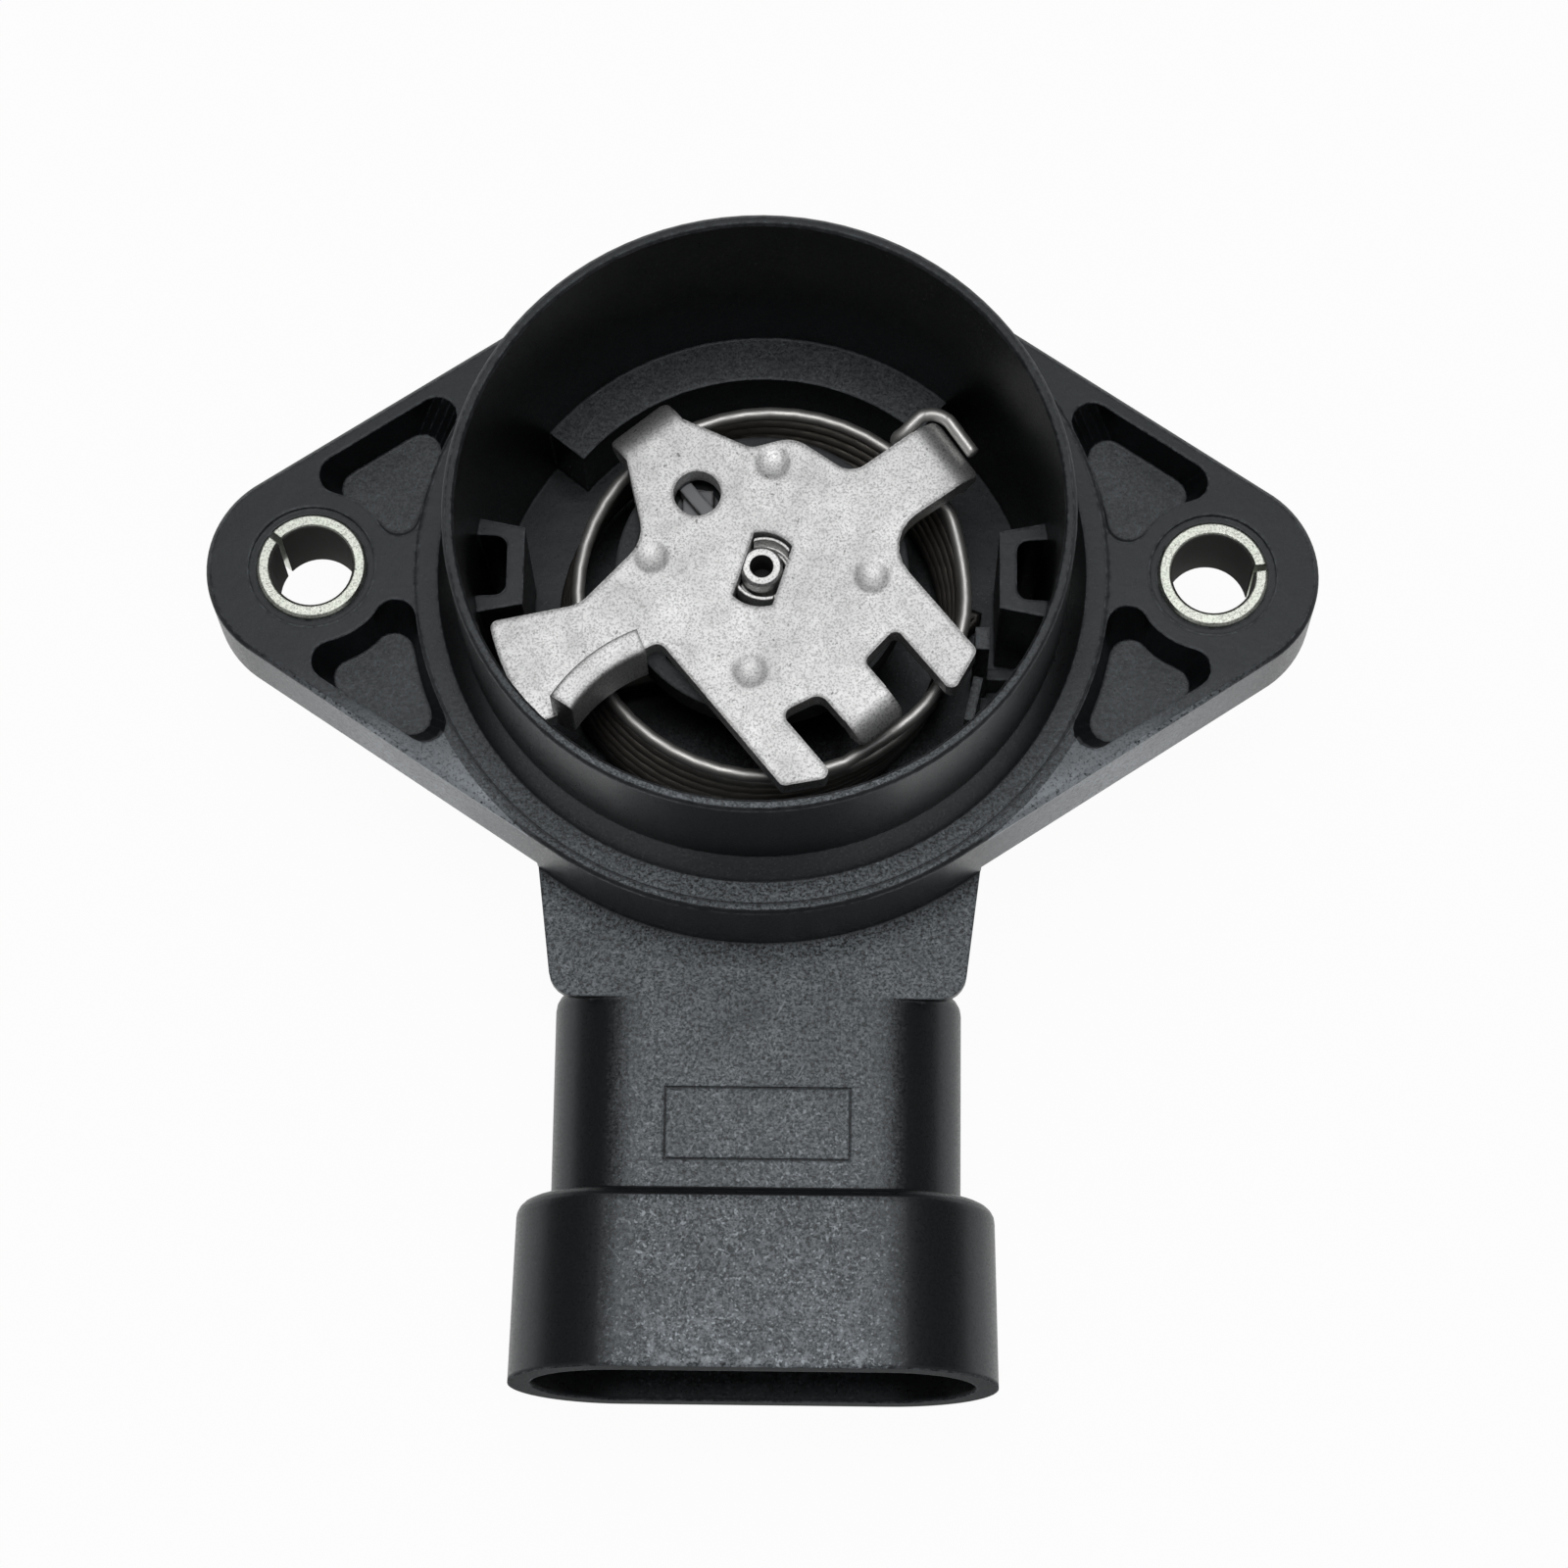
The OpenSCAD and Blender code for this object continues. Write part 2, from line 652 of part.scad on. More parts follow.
module plate_outline() {
    stop_points = [for (i = [0:6])
        [polar(stop_arm_r, stop_edge_angle + (stop_far_angle - stop_edge_angle) * i / 6), i == 0 ? 0.6 : 0]];
    tab_points = [for (i = [0:6])
        [tab_centre + polar(tab_r - 0.4, tab_far + (tab_near - tab_far) * i / 6), 0]];
    polygon(rounded(concat(
        [
            [short_arm(short_arm_u, short_half), 0],
            [[-8.6, 1.9], 3],
            [polar(13.6, 193.2), 2.5]
        ],
        stop_points,
        tab_points,
        [
            [comb(-0.2, arm_low), 0.8],
            [comb(comb_tip(arm_low) - 0.2, arm_low - 0.1), 0.5],
            [comb(comb_tip(arm_mid), arm_mid), 0.6],
            [comb(9.6, arm_mid), 0.7],
            [comb(10.3, finger_low), 0.9],
            [comb(finger_fold, finger_low), 0],
            [comb(finger_fold, finger_high), 0],
            [comb(10.4, finger_high), 0.6],
            [comb(9.9, arm_e_low), 0.6],
            [comb(comb_tip(arm_e_low), arm_e_low), 0.6],
            [comb(comb_tip(arm_e_high), arm_e_high), 0.6],
            [[8.6, 2.2], 3.6],
            [spring_arm(spring_arm_u, spring_arm_low), 0],
            [spring_arm(spring_arm_u, spring_arm_high), 0],
            [[6.5, 7.2], 1.8],
            [[2.2, 10.1], 2.5],
            [[-0.9, 9.2], 1.2],
            [short_arm(short_arm_u, -short_half), 0]
        ]
    )));
}

// Tip folded down from a line at distance u, between v0 and v1: a bend of
// constant thickness and a short straight end with rounded corners
fold_root = 0.5;
fold_in = 0.8;
fold_end = 0.3;
fold_reach = (fold_in + plate_t) * sin(fold_angle) + fold_end * cos(fold_angle);
module folded_tip(angle, u, v0, v1) {
    corner = 0.6;
    relief = 0.04;
    v_low = v0 + relief;
    v_high = v1 - relief;
    centre = [0, -fold_in];
    end = [cos(fold_angle), -sin(fold_angle)] * fold_end;
    turns = [for (i = [0:6]) 90 - fold_angle * i / 6];
    profile = concat(
        [[-fold_root, 0]],
        [for (a = turns) centre + polar(fold_in, a)],
        [centre + polar(fold_in, turns[6]) + end, centre + polar(fold_in + plate_t, turns[6]) + end],
        [for (i = [6:-1:0]) centre + polar(fold_in + plate_t, turns[i])],
        [[-fold_root, plate_t]]
    );
    rotate([0, 0, angle]) translate([u, 0, plate_z]) intersection() {
        translate([0, v_high, 0]) rotate([90, 0, 0]) linear_extrude(v_high - v_low) polygon(profile);
        translate([0, 0, -5]) linear_extrude(10) polygon(rounded([
            [[-1, v_low], 0], [[fold_reach + eps, v_low], corner],
            [[fold_reach + eps, v_high], corner], [[-1, v_high], 0]
        ]));
    }
}

// Drive tab, curved in plan, bent upright along the stop arm's front edge
module upright_tab() {
    corner = 0.4;
    inner = tab_r - plate_t;
    translate([tab_centre.x, tab_centre.y, plate_z]) rotate([0, 0, tab_near])
        rotate_extrude(angle = tab_far - tab_near, $fn = round_fn) polygon(rounded([
            [[inner, 0], plate_t * 0.8], [[tab_r, 0], 0],
            [[tab_r, plate_t + tab_h], corner / 2], [[inner, plate_t + tab_h], corner]
        ]));
}

// Slab between the drive flats, wide across them
module drive_slab(wide, h) {
    flat_angle = 73;
    off_centre = -0.18;
    rotate([0, 0, flat_angle]) translate([-5, off_centre - wide / 2, 0]) cube([10, wide, h]);
}

module drive_plate() {
    dimple_r = 1.35;
    dimple_depth = 0.25;
    dimple_ball = (dimple_r * dimple_r + dimple_depth * dimple_depth) / (2 * dimple_depth);
    peephole = [-4.8, 5.6];
    color([0.75, 0.76, 0.77]) {
        difference() {
            translate([0, 0, plate_z]) linear_extrude(plate_t) plate_outline();
            translate([peephole.x, peephole.y, plate_z - 1])
                cylinder(r = peephole_r, h = plate_t + 2, $fn = 64);
            translate([0, 0, plate_z - 1]) intersection() {
                translate([-0.05, -0.25, 0]) cylinder(r = drive_hole_r, h = plate_t + 2, $fn = 64);
                drive_slab(drive_flats, plate_t + 2);
            }
            for (a = [-5:90:265]) rotate([0, 0, a])
                translate([dimple_ring_r, 0, plate_top - dimple_depth + dimple_ball])
                    sphere(r = dimple_ball, $fn = 64);
        }
        folded_tip(spring_arm_angle, spring_arm_u, spring_arm_low, spring_arm_high);
        folded_tip(short_arm_angle, short_arm_u, -short_half, short_half);
        folded_tip(comb_angle, finger_fold, finger_low, finger_high);
        upright_tab();
    }
}

// Rotor: a dished head under the plate on a long hub, moulded on the spindle
module rotor() {
    head_t = 1.6;
    rim_t = 1.3;
    rim_h = 1.6;
    head_top = plate_z - rim_h;
    seat_r = 4.6;
    well_r = 2.1;
    well_step_r = 2.6;
    well_step = 1.0;
    spindle_shoulder = plate_z - 2.6;
    stud = 2.2;
    color([0.13, 0.13, 0.14]) difference() {
        union() {
            rotate_extrude($fn = round_fn) polygon([
                [0, hub_bottom], [hub_r, hub_bottom], [hub_r, head_top - head_t],
                [rotor_r - 0.5, head_top - head_t], [rotor_r, head_top - head_t + 0.5],
                [rotor_r, plate_z], [rotor_r - rim_t, plate_z], [rotor_r - rim_t, head_top],
                [seat_r, head_top], [seat_r, plate_z], [0, plate_z]
            ]);
            translate([-4.8 - stud / 2, 5.6 - stud / 2, head_top - eps]) cube([stud, stud, rim_h - 0.5]);
            for (a = [-5:90:265]) rotate([0, 0, a]) translate([dimple_ring_r, 0, head_top - eps])
                cylinder(r = 1.5, h = rim_h + eps, $fn = 48);
            for (a = [40:90:310]) rotate([0, 0, a]) translate([seat_r - 0.5, -0.5, head_top - eps])
                cube([rotor_r - rim_t - seat_r + 1, 1, rim_h + eps]);
        }
        translate([0, 0, hub_bottom - 1])
            cylinder(r = spindle_r, h = spindle_shoulder - hub_bottom + 1, $fn = round_fn);
        translate([0, 0, spindle_shoulder - eps]) cylinder(r = well_r, h = 10, $fn = round_fn);
        translate([0, 0, plate_z - well_step]) cylinder(r = well_step_r, h = 10, $fn = round_fn);
    }
}

// Steel spindle: journal, reduced top end with a centre hole, clip groove
// and a reduced lower end for the wiper carrier
module spindle() {
    shoulder = plate_z - 2.6;
    edge = 0.2;
    centre_hole_r = 0.85;
    color([0.7, 0.71, 0.72]) difference() {
        rotate_extrude($fn = round_fn) polygon([
            [0, spindle_bottom], [carrier_hub_r, spindle_bottom], [carrier_hub_r, clip_z - collar_t],
            [spindle_r, clip_z - collar_t], [spindle_r, clip_z],
            [clip_groove_r, clip_z], [clip_groove_r, bearing_bottom - axial_gap],
            [spindle_r, bearing_bottom - axial_gap], [spindle_r, shoulder], [spindle_tip_r, shoulder],
            [spindle_tip_r, spindle_top - edge], [spindle_tip_r - edge, spindle_top], [0, spindle_top]
        ]);
        translate([0, 0, spindle_top - 3]) cylinder(r = centre_hole_r, h = 4, $fn = 48);
        translate([0, 0, shoulder]) difference() {
            cylinder(r = 4, h = 10);
            translate([0, 0, -1]) drive_slab(drive_flats - 0.1, 12);
        }
    }
}

module thrust_washer() {
    color([0.8, 0.78, 0.7]) translate([0, 0, washer_z]) ring(bearing_flange_r, spindle_r, washer_t);
}

// Open retaining clip that snaps into the spindle's groove
module retaining_clip() {
    gap = 3.0;
    color([0.35, 0.35, 0.36]) difference() {
        translate([0, 0, clip_z]) ring(spindle_r + 1.6, clip_groove_r, clip_t);
        translate([0, -gap / 2, clip_z - 1]) cube([spindle_r + 3, gap, clip_t + 2]);
    }
}

// Carrier on the spindle's lower end, with a long arm for the wipers
module wiper_carrier() {
    color([0.85, 0.82, 0.72]) difference() {
        translate([0, 0, carrier_z]) linear_extrude(carrier_t) union() {
            circle(r = carrier_hub_r + 2.6, $fn = 64);
            intersection() {
                circle(r = carrier_r, $fn = round_fn);
                polygon(concat([[0, 0]], [for (a = [58, 90, 122]) polar(2 * carrier_r, a)]));
            }
        }
        translate([0, 0, carrier_z - 1]) cylinder(r = carrier_hub_r, h = carrier_t + 2, $fn = round_fn);
    }
}

// Sprung metal wiper under the carrier, reaching down to one track
module wiper(r) {
    strip_t = 0.2;
    strip_w = 1.4;
    base = 4;
    drop = carrier_z - board_top - 0.25 - strip_t;
    finger = 1.6;
    toe = 0.5;
    color([0.8, 0.65, 0.35]) rotate([0, 0, 90]) translate([r - strip_w / 2, 0, carrier_z]) {
        translate([0, -base / 2, -strip_t]) cube([strip_w, base, strip_t]);
        for (s = [-1, 1]) translate([0, s * base / 2, -strip_t]) mirror([0, s < 0 ? 1 : 0, 0])
            rotate([90, 0, 90]) linear_extrude(strip_w) polygon([
                [-eps, 0], [-eps, strip_t], [finger, strip_t - drop],
                [finger + toe, strip_t - drop], [finger + toe, -drop], [finger - strip_t, -drop]
            ]);
    }
}

module wiper_inner() { wiper(track_inner_r); }

module wiper_outer() { wiper(track_outer_r); }

// Return spring: one wire from the fixed leg, up the leaning coils, over
// one open turn and round the tip of the spring arm

// Drift of the coil centre at fraction s up the stack
function coil_centre(s) = [0.7 - spring_lean * (1 - s), -0.45 * spring_lean * (1 - s)];

top_turn_rise = 1.5;
coil_bottom = floor_z + wire_d / 2 + 0.15;
coil_start_angle = 38;
coil_end_angle = 22;
turns_total = spring_turns + 1 + (coil_end_angle - coil_start_angle) / 360;
function coil_height(turn) =
    coil_bottom + min(turn, spring_turns) * spring_pitch + max(0, turn - spring_turns) * top_turn_rise;
function coil_point(turn) =
    let(
        a = coil_start_angle + 360 * turn,
        c = coil_centre(min(1, turn / spring_turns))
    )
    [c.x + spring_r * cos(a), c.y + spring_r * sin(a), coil_height(turn)];

hook_z = plate_top - plate_t / 2 + 0.2;
hook_gap = wire_d / 2 + 0.15;
tip_u = spring_arm_u + fold_reach;
hook_side_v = spring_arm_high + hook_gap;
hook_out_u = tip_u + hook_gap;
function at_arm(u, v, z) = let(p = spring_arm(u, v)) [p.x, p.y, z];

// Quarter bend round the corner of the arm, then the straight end
hook_bend_r = 1.6;
hook_points = concat(
    [
        at_arm(14.3, -0.9, plate_z - wire_d / 2 - 1.9),
        at_arm(14.0, 1.4, plate_z - wire_d / 2 - 0.7),
        at_arm(14.2, hook_side_v + 0.05, plate_z),
        at_arm(14.9, hook_side_v, hook_z - 0.3)
    ],
    [for (i = [0:5]) let(a = 90 - 18 * i)
        at_arm(hook_out_u - hook_bend_r + hook_bend_r * cos(a),
            hook_side_v - hook_bend_r + hook_bend_r * sin(a) + 0.2 * (1 - i / 5), hook_z)],
    [at_arm(hook_out_u, hook_side_v - 4.3, hook_z - 0.2)]
);

fixed_leg = [
    [15.4, -3.1, coil_bottom],
    [13.6, 0.8, coil_bottom]
];

steps_per_turn = 20;
coil_steps = floor(turns_total * steps_per_turn);
spring_path = concat(
    fixed_leg,
    [for (i = [0:coil_steps]) coil_point(turns_total * i / coil_steps)],
    hook_points
);

// Tube along a path: a ring of points square to the path at each stop
function path_dir(p, i) = unit(p[min(i + 1, len(p) - 1)] - p[max(i - 1, 0)]);
function side_of(d) = unit(cross(d, abs(d.z) > 0.9 ? [1, 0, 0] : [0, 0, 1]));
module wire(path, d, sides = 8) {
    n = len(path);
    points = [for (i = [0:n - 1]) let(t = path_dir(path, i), s = side_of(t), u = cross(s, t))
        for (k = [0:sides - 1]) path[i] + (s * cos(360 * k / sides) + u * sin(360 * k / sides)) * d / 2];
    walls = [for (i = [0:n - 2], k = [0:sides - 1]) let(a = i * sides + k, b = i * sides + (k + 1) % sides)
        [a, b, b + sides, a + sides]];
    caps = [[for (k = [sides - 1:-1:0]) k], [for (k = [0:sides - 1]) (n - 1) * sides + k]];
    polyhedron(points = points, faces = concat(walls, caps), convexity = 10);
}

module return_spring() { color([0.78, 0.78, 0.78]) wire(spring_path, wire_d); }

housing();
bush_left();
bush_right();
bearing_bush();
rear_cover();
cover_seal();
sensor_board();
terminal(1);  // terminal_1
terminal(2);  // terminal_2
terminal(3);  // terminal_3
terminal(4);  // terminal_4
terminal(5);  // terminal_5
terminal(6);  // terminal_6
return_spring();
drive_plate();
rotor();
spindle();
thrust_washer();
retaining_clip();
wiper_carrier();
wiper_inner();
wiper_outer();
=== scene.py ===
"""Throttle position sensor: materials, finer pieces, studio and camera."""
import json
import math
import bmesh
import bpy
from mathutils import Matrix, Vector


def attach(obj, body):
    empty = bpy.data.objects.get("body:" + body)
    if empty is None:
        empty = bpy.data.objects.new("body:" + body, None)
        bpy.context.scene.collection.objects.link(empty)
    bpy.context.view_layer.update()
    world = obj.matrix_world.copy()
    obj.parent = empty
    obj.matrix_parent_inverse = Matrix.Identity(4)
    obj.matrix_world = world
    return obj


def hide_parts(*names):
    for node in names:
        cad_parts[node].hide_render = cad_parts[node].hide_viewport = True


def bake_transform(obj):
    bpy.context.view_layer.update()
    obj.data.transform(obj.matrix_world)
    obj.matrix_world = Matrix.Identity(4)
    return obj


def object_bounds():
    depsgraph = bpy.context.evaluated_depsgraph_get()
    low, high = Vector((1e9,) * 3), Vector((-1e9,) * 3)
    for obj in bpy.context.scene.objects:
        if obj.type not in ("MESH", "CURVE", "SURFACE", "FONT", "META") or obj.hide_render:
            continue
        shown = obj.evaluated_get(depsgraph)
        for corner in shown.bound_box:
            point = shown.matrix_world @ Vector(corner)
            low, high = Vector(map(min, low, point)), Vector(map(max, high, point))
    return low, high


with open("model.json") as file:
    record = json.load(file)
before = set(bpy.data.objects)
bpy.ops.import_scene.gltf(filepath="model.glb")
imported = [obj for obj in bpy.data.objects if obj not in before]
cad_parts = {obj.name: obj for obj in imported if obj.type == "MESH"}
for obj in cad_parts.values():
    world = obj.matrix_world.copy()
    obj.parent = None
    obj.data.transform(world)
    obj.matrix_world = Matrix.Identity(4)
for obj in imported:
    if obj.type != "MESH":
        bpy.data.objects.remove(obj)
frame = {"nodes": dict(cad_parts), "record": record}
CAD_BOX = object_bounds()

MM = 0.001
NODES = frame["nodes"]
ROOT, ROTOR = "root", "rotor_assembly"
HOLE_X = frame["record"]["mounts"][0]["dims"]["spacing_x_mm"] / 2


# Node helpers

def shade(color, share):
    """A colour made darker or lighter by one factor."""
    return tuple(share * c for c in color)


class Nodes:
    """A small builder for one material's node tree; its lengths are in mm."""

    def __init__(self, name):
        self.material = bpy.data.materials.new(name)
        self.material.use_nodes = True
        self.tree = self.material.node_tree
        self.tree.nodes.clear()
        self.shader = self.add("ShaderNodeBsdfPrincipled")
        self.out = self.add("ShaderNodeOutputMaterial")
        self.link(self.shader.outputs["BSDF"], self.out.inputs["Surface"])
        self.place = self.add("ShaderNodeTexCoord").outputs["Object"]

    def add(self, kind, **values):
        node = self.tree.nodes.new(kind)
        for key, value in values.items():
            setattr(node, key, value)
        return node

    def link(self, a, b):
        self.tree.links.new(a, b)

    def put(self, socket, value):
        """Sets a socket to a number or colour, or links another socket to it."""
        if isinstance(value, bpy.types.NodeSocket):
            self.link(value, socket)
        else:
            socket.default_value = value

    def noise(self, size_mm, detail=2.0, rough=0.5):
        """Noise whose features are about size_mm across."""
        node = self.add("ShaderNodeTexNoise")
        node.inputs["Scale"].default_value = 1 / (size_mm * MM)
        node.inputs["Detail"].default_value = detail
        node.inputs["Roughness"].default_value = rough
        self.link(self.place, node.inputs["Vector"])
        return node.outputs["Fac"]

    def scratches(self, width_mm, ratio, turn):
        """Sparse fine lines along one direction in plan, ratio times as long as wide."""
        mapping = self.add("ShaderNodeMapping", vector_type="TEXTURE")
        mapping.inputs["Rotation"].default_value = (0, 0, turn)
        mapping.inputs["Scale"].default_value = (1.0, ratio, 1.0)
        self.link(self.place, mapping.inputs["Vector"])
        node = self.add("ShaderNodeTexNoise")
        node.inputs["Scale"].default_value = 1 / (width_mm * MM)
        node.inputs["Detail"].default_value = 1.0
        self.link(mapping.outputs["Vector"], node.inputs["Vector"])
        return self.ramp(node.outputs["Fac"], [(0.69, 0.0), (0.85, 0.7)])

    def ramp(self, value, stops):
        """Maps a factor to grey levels; stops are (place, level)."""
        node = self.add("ShaderNodeValToRGB")
        elements = node.color_ramp.elements
        for element, (place, level) in zip(elements, stops):
            element.position = place
            element.color = (level, level, level, 1)
        self.link(value, node.inputs["Fac"])
        return node.outputs["Color"]

    def mix(self, factor, a, b):
        """Goes from colour a to colour b."""
        node = self.add("ShaderNodeMix", data_type="RGBA")
        self.put(node.inputs["Factor"], factor)
        for socket, value in ((node.inputs[6], a), (node.inputs[7], b)):
            self.put(socket, (*value, 1) if isinstance(value, tuple) else value)
        return node.outputs[2]

    def math(self, operation, a, b=0.0):
        node = self.add("ShaderNodeMath", operation=operation)
        self.put(node.inputs[0], a)
        self.put(node.inputs[1], b)
        return node.outputs[0]

    def times(self, first, *others):
        for other in others:
            first = self.math("MULTIPLY", first, other)
        return first

    def larger(self, a, b):
        return self.math("MAXIMUM", a, b)

    def axes(self):
        """The X, Y and Z of the shaded point."""
        node = self.add("ShaderNodeSeparateXYZ")
        self.link(self.place, node.inputs[0])
        return node.outputs

    def fade(self, value, from_mm, to_mm, low=0.0, high=1.0):
        """Goes from low to high as a length goes from one value to another."""
        node = self.add("ShaderNodeMapRange", clamp=True)
        self.link(value, node.inputs["Value"])
        node.inputs["From Min"].default_value = from_mm * MM
        node.inputs["From Max"].default_value = to_mm * MM
        node.inputs["To Min"].default_value = low
        node.inputs["To Max"].default_value = high
        return node.outputs["Result"]

    def along(self, axis, from_mm, to_mm, low=0.0, high=1.0):
        """Goes from low to high between two places on one axis."""
        return self.fade(self.axes()[axis], from_mm, to_mm, low, high)

    def rounded(self, radius_mm):
        """The surface normal with its sharp edges softened."""
        node = self.add("ShaderNodeBevel", samples=4)
        node.inputs["Radius"].default_value = radius_mm * MM
        return node.outputs["Normal"]

    def edge_of(self, soft):
        """Bright where the softened normal leaves the face's own."""
        dot = self.add("ShaderNodeVectorMath", operation="DOT_PRODUCT")
        self.link(soft, dot.inputs[0])
        self.link(self.add("ShaderNodeNewGeometry").outputs["True Normal"], dot.inputs[1])
        return self.ramp(dot.outputs["Value"], [(0.85, 1.0), (0.985, 0.0)])

    def crease_shade(self, reach_mm):
        """Bright in grooves and inside corners, where painted shade goes."""
        node = self.add("ShaderNodeAmbientOcclusion", samples=4, only_local=True)
        node.inputs["Distance"].default_value = reach_mm * MM
        return self.ramp(node.outputs["AO"], [(0.45, 1.0), (0.8, 0.0)])

    def facing_up(self):
        """1 on faces that look along +Z, 0 on steeper ones."""
        node = self.add("ShaderNodeSeparateXYZ")
        self.link(self.add("ShaderNodeNewGeometry").outputs["Normal"], node.inputs[0])
        return self.ramp(node.outputs["Z"], [(0.93, 0.0), (1.0, 1.0)])

    def near_line(self, across, y_mm, r_mm):
        """1 nearer than r_mm to an upright line; across is the distance from it in X."""
        dy = self.math("SUBTRACT", self.axes()["Y"], y_mm * MM)
        square = self.math("ADD", self.times(across, across), self.times(dy, dy))
        return self.math("LESS_THAN", square, (r_mm * MM) ** 2)

    def in_bores(self, x_mm, r_mm):
        """1 inside the bore at x_mm and the one at -x_mm."""
        size = self.math("ABSOLUTE", self.axes()["X"])
        return self.near_line(self.math("SUBTRACT", size, x_mm * MM), 0.0, r_mm)

    def spot(self, x_mm, y_mm, r_mm):
        """1 in a round column at x_mm, y_mm."""
        return self.near_line(self.math("SUBTRACT", self.axes()["X"], x_mm * MM), y_mm, r_mm)

    def bump(self, height, depth_mm, under=None):
        node = self.add("ShaderNodeBump")
        node.inputs["Distance"].default_value = depth_mm * MM
        node.inputs["Strength"].default_value = 1.0
        self.link(height, node.inputs["Height"])
        if under is not None:
            self.link(under, node.inputs["Normal"])
        return node.outputs["Normal"]

    def finish(self, color, rough, normal=None, **fixed):
        self.put(self.shader.inputs["Base Color"], color)
        self.put(self.shader.inputs["Roughness"], rough)
        if normal is not None:
            self.link(normal, self.shader.inputs["Normal"])
        for key, value in fixed.items():
            self.put(self.shader.inputs[key.replace("_", " ")], value)
        return self.material


# Places on the moulded housing, in mm, where its grain, wear and painted light differ

FRONT_FROM, FRONT_TO = -7.0, -25.0
CONNECTOR_TOP, CONNECTOR_MIDDLE = -12.5, -14.0
NECK_START, MOUTH_Y = -30.0, -57.75
NECK_FLAT_X, NECK_SIDE_X = 7.6, 11.2
RING_R, RING_STEP = 26.2, -0.5
WALL_X, WALL_Y, WALL_REACH = 0.556, 0.831, 26.05
POCKET_TOP, POCKET_BOTTOM = -0.4, -7.0


def pocket_floors(n):
    """A little grain and painted sheen between the flange's top face and its underside."""
    return n.times(n.along("Z", POCKET_TOP, POCKET_TOP - 0.6, 0.0, 0.25),
                   n.along("Z", POCKET_BOTTOM, POCKET_BOTTOM - 1.5, 1.0, 0.0))


def connector_middle(n):
    """1 down the middle of the connector, fading out towards its round sides."""
    off = n.math("ABSOLUTE", n.axes()["X"])
    return n.larger(n.fade(off, NECK_FLAT_X, NECK_SIDE_X, 1.0, 0.0),
                    n.along("Y", NECK_START, NECK_START - 0.6, 1.0, 0.0))


def grain_and_sheen_zone(n):
    """How strong the grain and its painted sheen are: most on the top of the connector and the flange's
    front, on upward faces only.
    """
    front = n.times(n.along("Y", FRONT_FROM, FRONT_TO, 0.03, 1.0),
                    n.along("Z", CONNECTOR_TOP, CONNECTOR_MIDDLE, 1.0, 0.05))
    return n.times(n.larger(front, pocket_floors(n)), n.facing_up(), connector_middle(n))


def flange_ring_light(n):
    """1 on the flange's front band round the cup's foot, fading out towards the lugs; painted light goes
    there.
    """
    axes = n.axes()
    flat = n.add("ShaderNodeCombineXYZ")
    n.link(axes["X"], flat.inputs["X"])
    n.link(axes["Y"], flat.inputs["Y"])
    length = n.add("ShaderNodeVectorMath", operation="LENGTH")
    n.link(flat.outputs[0], length.inputs[0])
    band = n.math("GREATER_THAN", length.outputs["Value"], RING_R * MM)
    top = n.times(n.along("Z", RING_STEP - 0.4, RING_STEP), n.along("Z", 0.2, 0.4, 1.0, 0.0))
    return n.times(band, top, n.along("Y", -10.0, -27.0))


def front_wall_reflection(n):
    """1 along the middle of the flange's two straight walls that face the connector, where a painted
    reflection goes.
    """
    axes = n.axes()
    reach = n.math("SUBTRACT", n.times(n.math("ABSOLUTE", axes["X"]), WALL_X), n.times(axes["Y"], WALL_Y))
    near = n.times(n.math("GREATER_THAN", reach, (WALL_REACH - 0.25) * MM),
                   n.math("LESS_THAN", reach, (WALL_REACH + 0.25) * MM))
    return n.times(near, n.along("Y", -6.0, -13.0), n.along("Y", -16.0, -21.0, 1.0, 0.0))


# Materials

